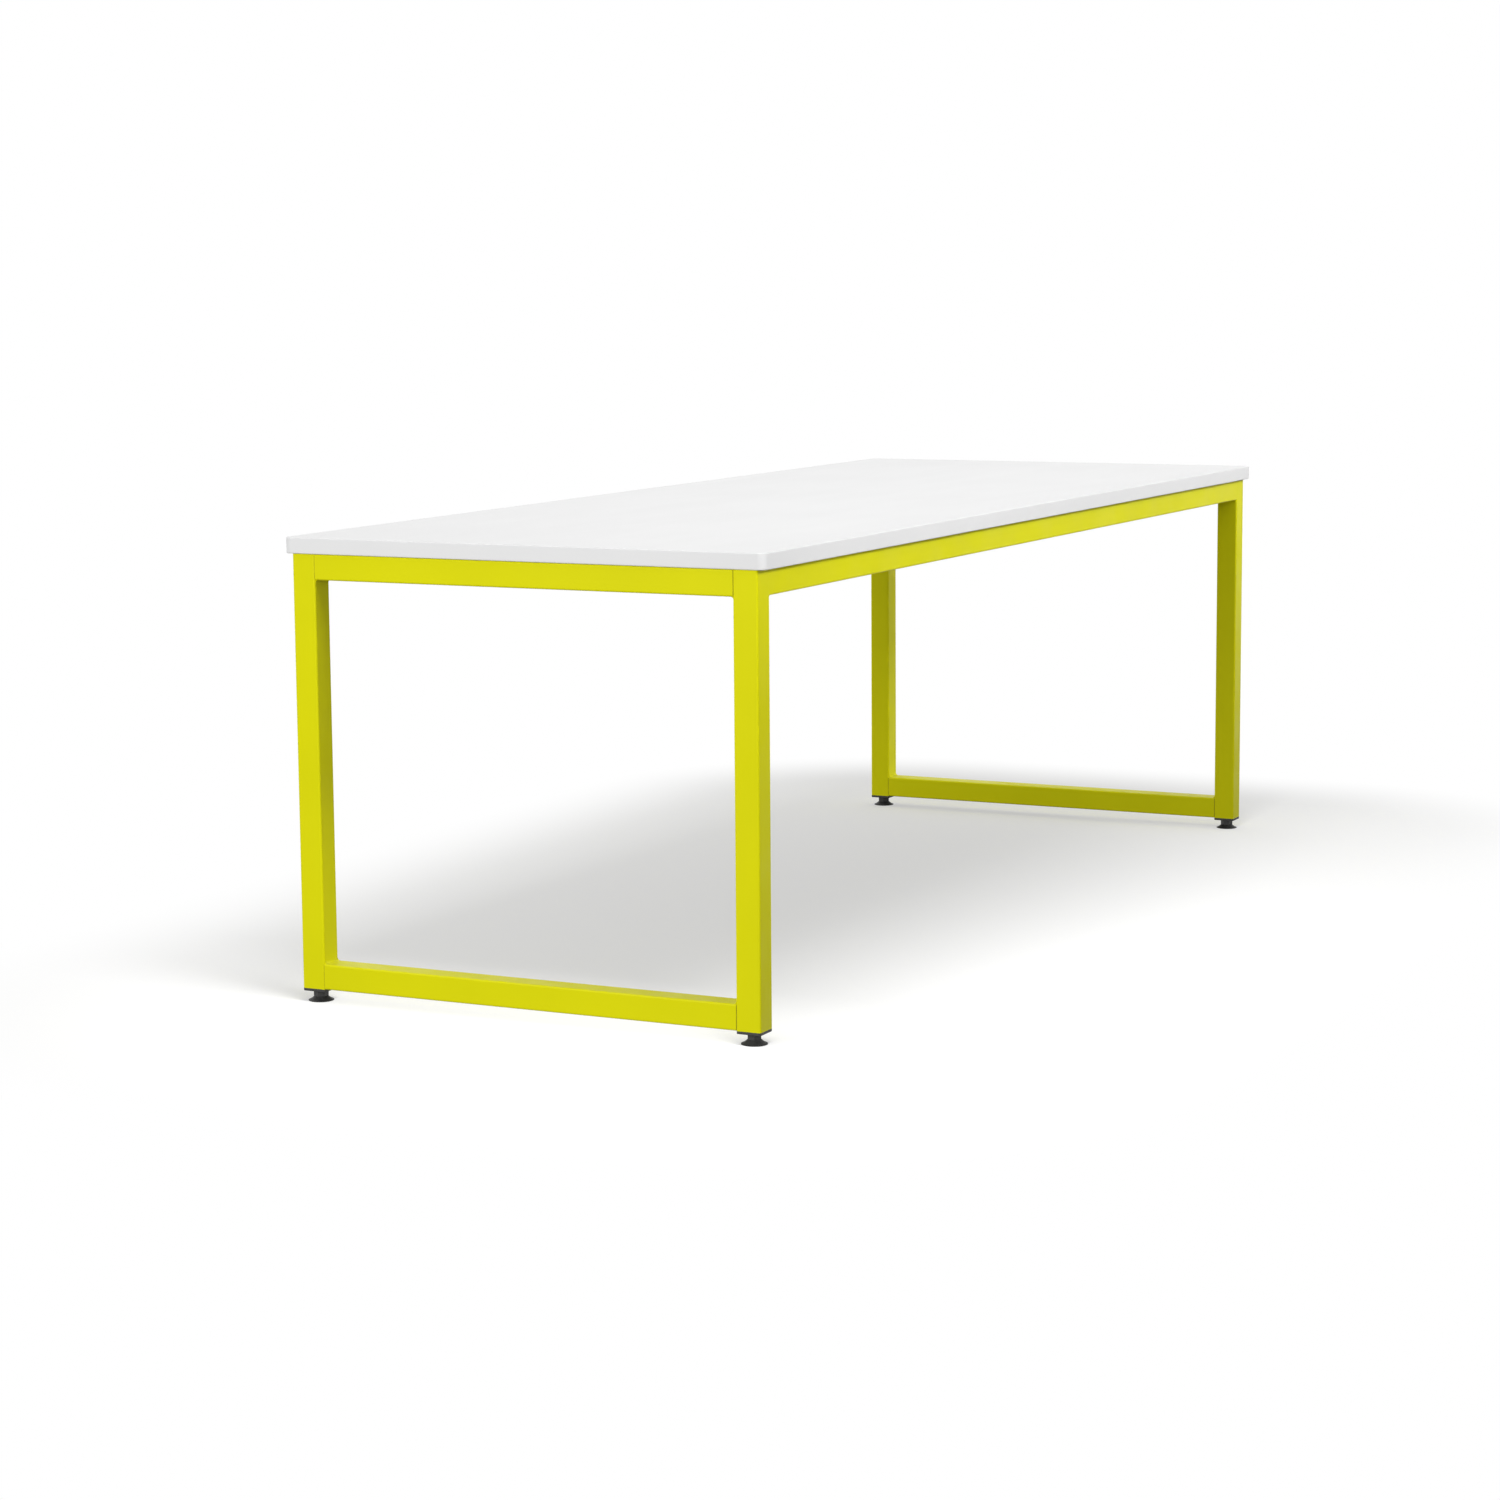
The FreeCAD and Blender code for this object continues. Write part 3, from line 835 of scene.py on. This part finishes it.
# %% [markdown]
# ## Levelling studs
# Each foot hangs on a zinc-plated stud with a coarse M10 thread, a pitch of one and a half
# millimetres. Its flat head lies in the pad, so that the pad can swivel, and its thread shows when
# the foot is screwed out. The head is a cylinder whose top is inset and extruded into a plain
# shank. The thread is joined to that, and the four studs are copies.

# %% Head and shank of a stud
stud_low, stud_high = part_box("foot_stud_front_left")
head_radius = (stud_high.x - stud_low.x) / 2
head_bottom, stud_tip = stud_low.z, stud_high.z
head_height = 2 * mm
head_rim = 0.3 * mm
shank_radius = 5 * mm
shank_top = 12 * mm

head = disc(48, head_radius, head_bottom, head_height)
pick_faces(head, lambda centre, normal: normal.z > square_on)
bpy.ops.mesh.inset(thickness=head_radius - shank_radius)
extrude((0, 0, shank_top - head_bottom - head_height))
pick_edges(head, lambda point: point.xy.length > head_radius - tolerance and
           abs(point.z - head_bottom) < tolerance)
bpy.ops.mesh.bevel(offset=head_rim, segments=3, affect="EDGES")
print("a head of", round(2 * head_radius / mm), "mm on a shank of", round(2 * shank_radius / mm), "mm")

# %% Thread of a stud, and the four studs
thread_pitch = 1.5 * mm
thread_depth = 0.92 * mm
end_chamfer = 1 * mm
chamfered_width = 0.8

thread = threaded_rod("stud_thread", shank_radius, thread_depth, thread_pitch,
                      shank_top - thread_pitch, stud_tip - end_chamfer)
draw_end(thread, end_chamfer, chamfered_width)
stud = join("stud_model", [head, thread])
for corner in corners:
    piece = put_copy(stud, "stud_" + corner, over_middle(*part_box("foot_stud_" + corner)))
    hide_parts("foot_stud_" + corner)
    hand_over(piece, "screw_" + corner, "zinc_steel")
bpy.data.objects.remove(stud)

# %% [markdown]
# ## Wood screws
# Twelve pan-headed wood screws hold the board, driven up from below through steel angles. A head
# is a cylinder with its lower rim bevelled round. Its cross recess is cut by a Boolean: the cutter
# starts as a cube, its four sides are extruded into a cross, and its deep end is drawn in, as on
# the real punch. The thread is wider and steeper than a machine thread and ends in a point. Where
# each screw stands is read from the CAD solids, and each is driven home at its own angle.

# %% Pan head of a screw
screw_low, screw_high = screw_boxes[0]
seat_to_tip = 20 * mm
pan_radius = (screw_high.x - screw_low.x) / 2
pan_bottom, screw_tip = screw_low.z, screw_high.z
pan_height = screw_tip - pan_bottom - seat_to_tip
pan_rounding = 0.55 * pan_height

pan = disc(40, pan_radius, pan_bottom, pan_height)
pick_edges(pan, lambda point: point.z < pan_bottom + tolerance)
bpy.ops.mesh.bevel(offset=pan_rounding, segments=6, affect="EDGES")
print("a pan head of", round(2 * pan_radius / mm, 1), "mm")

# %% Cross recess of a screw
recess_width = 1.1 * mm
recess_arm = 1.9 * mm
recess_depth = 1.7 * mm
recess_taper = 0.4

start_fresh()
bpy.ops.mesh.primitive_cube_add(size=recess_width)
cutter = bpy.context.object
for way in (Vector((1, 0, 0)), Vector((0, 1, 0)), Vector((-1, 0, 0)), Vector((0, -1, 0))):
    pick_faces(cutter, lambda centre, normal: (centre - way * recess_width / 2).length < tolerance)
    extrude(way * recess_arm)
bpy.ops.mesh.select_all(action="SELECT")
bpy.ops.transform.resize(value=(1, 1, 2 * recess_depth / recess_width), center_override=(0, 0, 0))
bpy.ops.transform.translate(value=(0, 0, pan_bottom))
pick_faces(cutter, lambda centre, normal: normal.z > square_on)
bpy.ops.transform.resize(value=(recess_taper, recess_taper, 1),
                         center_override=(0, 0, pan_bottom + recess_depth))
bpy.ops.object.mode_set(mode="OBJECT")
recess = pan.modifiers.new("recess", "BOOLEAN")
recess.object = cutter
recess.solver = "EXACT"
apply(pan, recess)
bpy.data.objects.remove(cutter)
print("a cross recess", round(recess_depth / mm, 1), "mm deep")

# %% Thread of a screw, and the twelve screws
wood_radius = 2.4 * mm
wood_depth = 0.75 * mm
wood_pitch = 2.2 * mm
above_recess = 0.6 * mm
point_length = 4 * mm
point_width = 0.05
screw_turn = math.radians(37)

thread = threaded_rod("screw_thread", wood_radius, wood_depth, wood_pitch,
                      pan_bottom + recess_depth + above_recess, screw_tip - point_length, steps=20)
draw_end(thread, point_length, point_width)
screw = join("screw_model", [pan, thread])
driven = []
for number, box in enumerate(screw_boxes):
    turned = Matrix.Rotation(screw_turn * number, 4, "Z")
    driven.append(put_copy(screw, "screw", over_middle(*box) @ turned))
bpy.data.objects.remove(screw)
wood_screws = join("wood_screws", driven)
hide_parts("top_screws")
hand_over(wood_screws, "table", "zinc_steel")

# %% [markdown]
# ## Weld beads
# The tubes are welded, and in the inner corners the welds are left as they were laid: a hollow
# fillet with a row of shallow ripples, each the edge of a pool of metal that froze, softened by
# the paint. The solid already has the smooth fillet, and the ripples are a thin skin over it. Its
# profile is one vertex spun through a quarter turn round the fillet's own centre. It is bowed
# forward in the middle, because the pool runs ahead there, and then extruded a step at a time.
# After each step it is scaled about the same centre, in for a crest and out for a trough. A ripple
# takes four steps, because with a crest and a trough alone, smooth shading would even them out.
# Both toes of the bead are dipped into the tubes, so that the ripples run out into them.

# %% Bead helper
ripple_shape = ((0.12, 0.955), (0.24, 0.925), (0.36, 0.945), (0.28, 0.99))
sunk = 1.02
toe_dip = 0.09
bow_share = 0.25
skin_share = 0.3


def weld_bead(name, leg, run, ripples):
    """A rippled skin over a hollow fillet, legs along +X and +Z, run along Y about the origin."""
    start = -run / 2
    bow = bow_share * leg
    bead = one_point(name, (leg, start, 0))
    bpy.ops.mesh.spin(steps=8, angle=-math.pi / 2, center=(leg, start, leg), axis=(0, 1, 0))
    bpy.ops.object.mode_set(mode="OBJECT")
    for point in bead.data.vertices:
        point.select = abs(point.co.x - point.co.z) < tolerance
    bpy.ops.object.mode_set(mode="EDIT")
    bpy.ops.transform.translate(value=(0, bow, 0), use_proportional_edit=True,
                                proportional_edit_falloff="SPHERE", proportional_size=leg)
    bpy.ops.mesh.select_mode(type="EDGE")
    bpy.ops.mesh.select_all(action="SELECT")
    bpy.ops.transform.resize(value=(sunk, 1, sunk), center_override=(leg, start, leg))
    size = sunk
    step = (run - bow) / ripples
    for forward, scale in ripple_shape * ripples:
        extrude((0, forward * step, 0))
        bpy.ops.transform.resize(value=(scale / size, 1, scale / size), center_override=(leg, 0, leg))
        size = scale
    bpy.ops.transform.resize(value=(sunk / size, 1, sunk / size), center_override=(leg, 0, leg))
    pick_edges(bead, lambda point: abs(point.x - leg) < tolerance)
    bpy.ops.transform.translate(value=(0, 0, -toe_dip * leg))
    pick_edges(bead, lambda point: abs(point.z - leg) < tolerance)
    bpy.ops.transform.translate(value=(-toe_dip * leg, 0, 0))
    bpy.ops.object.mode_set(mode="OBJECT")
    skin = bead.modifiers.new("skin", "SOLIDIFY")
    skin.thickness = skin_share * leg
    skin.offset = -1.0
    apply(bead, skin)
    return bead


def across(corner, along, away):
    """The matrix that lays a bead in a corner, with its legs in two given directions."""
    along, away = Vector(along), Vector(away)
    turn = Matrix((along, away.cross(along), away)).transposed()
    return Matrix.Translation(corner) @ turn.to_4x4()


print("bead helpers ready")

# %% Weld beads in the frame's corners
bead_leg = 4.5 * mm
bead_run = 37 * mm
bead_ripples = 17
up, down = (0, 0, 1), (0, 0, -1)
post_low, post_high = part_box("upright_front_right")
inner_x, inner_y = post_low.x, -post_high.y
middle_x, middle_y = (post_low.x + post_high.x) / 2, -(post_low.y + post_high.y) / 2
under_top_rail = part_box("end_top_rail_right")[0].z
over_floor_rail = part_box("end_bottom_rail_right")[1].z

bead = weld_bead("bead_model", bead_leg, bead_run, bead_ripples)
laid = {"left": [], "right": [], "long": []}
for end, side_x in (("left", -1), ("right", 1)):
    for side_y in (-1, 1):
        inward_x, inward_y = (-side_x, 0, 0), (0, -side_y, 0)
        upper = Vector((side_x * middle_x, side_y * inner_y, under_top_rail))
        lower = Vector((side_x * middle_x, side_y * inner_y, over_floor_rail))
        rail = Vector((side_x * inner_x, side_y * middle_y, under_top_rail))
        laid[end].append(put_copy(bead, "bead", across(upper, inward_y, down)))
        laid[end].append(put_copy(bead, "bead", across(lower, inward_y, up)))
        laid["long"].append(put_copy(bead, "bead", across(rail, inward_x, down)))
bpy.data.objects.remove(bead)
print({part: len(beads) for part, beads in laid.items()}, "beads laid")

# %% [markdown]
# ## Spots of weld
# Where three tubes meet under the top, a spot of weld closes the notch between the beads. A
# metaball could make such a drop, but a sphere with arms drawn out of it is easier to aim: two
# arms point along the beads and one runs down the upright. Proportional editing makes the surface
# follow each arm softly.

# %% Spot helper
arm_tip = 0.95
arm_softness = 1.2


def weld_spot(name, radius, arms):
    """A spot of weld: a sphere with arms drawn out of it, each given in radii."""
    start_fresh()
    bpy.ops.mesh.primitive_uv_sphere_add(segments=24, ring_count=16, radius=radius)
    spot = bpy.context.object
    spot.name = name
    for arm in map(Vector, arms):
        way = arm.normalized()
        pick_faces(spot, lambda centre, normal: normal.dot(way) > arm_tip)
        bpy.ops.transform.translate(value=arm * radius, use_proportional_edit=True,
                                    proportional_edit_falloff="SMOOTH",
                                    proportional_size=arm_softness * radius)
    bpy.ops.object.mode_set(mode="OBJECT")
    return spot


print("spot helper ready")

# %% Spots of weld where three tubes meet
spot_radius = 2.9 * mm
spot_arms = ((-1.0, 0, 0), (0, -1.0, 0), (-0.3, -0.3, -1.6))
spot_inset = 1.1 * mm
spot_rise = 0.6 * mm
spot_x, spot_y = inner_x + spot_inset, inner_y + spot_inset

spot = weld_spot("spot_model", spot_radius, spot_arms)
for quarter, (side_x, side_y) in enumerate(((-1, -1), (1, -1), (1, 1), (-1, 1))):
    notch = Vector((side_x * spot_x, side_y * spot_y, under_top_rail + spot_rise))
    turned = Matrix.Rotation(quarter * math.pi / 2, 4, "Z")
    laid["long"].append(put_copy(spot, "spot", Matrix.Translation(notch) @ turned))
bpy.data.objects.remove(spot)
for part, beads in laid.items():
    hand_over(join("weld_beads_" + part, beads), "table", "lime_frame")

# %% [markdown]
# ## Tack welds on the angles
# The angles under the board are tacked to the rails before painting, with one long spot up each
# side, drawn out both ways with the same helper. An angle's box shows which rail it is on: its
# long way lies along the rail, and its outer side is against it.

# %% Tack welds on the angles
tack_radius = 1.9 * mm
tack_arms = ((0, 1.5, 0), (0, -1.3, 0))

tack = weld_spot("tack_model", tack_radius, tack_arms)
tacks = []
for low, high in angle_boxes:
    middle = (low + high) / 2
    rail_axis = 0 if high.x - low.x > high.y - low.y else 1
    wall_axis = 1 - rail_axis
    wall_side = 1 if middle[wall_axis] > 0 else -1
    for way in (-1, 1):
        edge = middle.copy()
        edge[rail_axis] = (high if way > 0 else low)[rail_axis]
        edge[wall_axis] = (high if wall_side > 0 else low)[wall_axis]
        along, away = Vector(), Vector()
        along[rail_axis] = way
        away[wall_axis] = -wall_side
        tacks.append(put_copy(tack, "tack", across(edge, along, away)))
bpy.data.objects.remove(tack)
hand_over(join("angle_tacks", tacks), "table", "lime_frame")

# %% [markdown]
# ## Size
# Nothing here may make the table bigger than its CAD model. The CAD model's size is printed at
# the start, and the dressed table's size is printed here.

# %% Size
low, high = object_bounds()
print("the dressed table measures", [round((h - l) / mm, 2) for l, h in zip(low, high)], "mm")
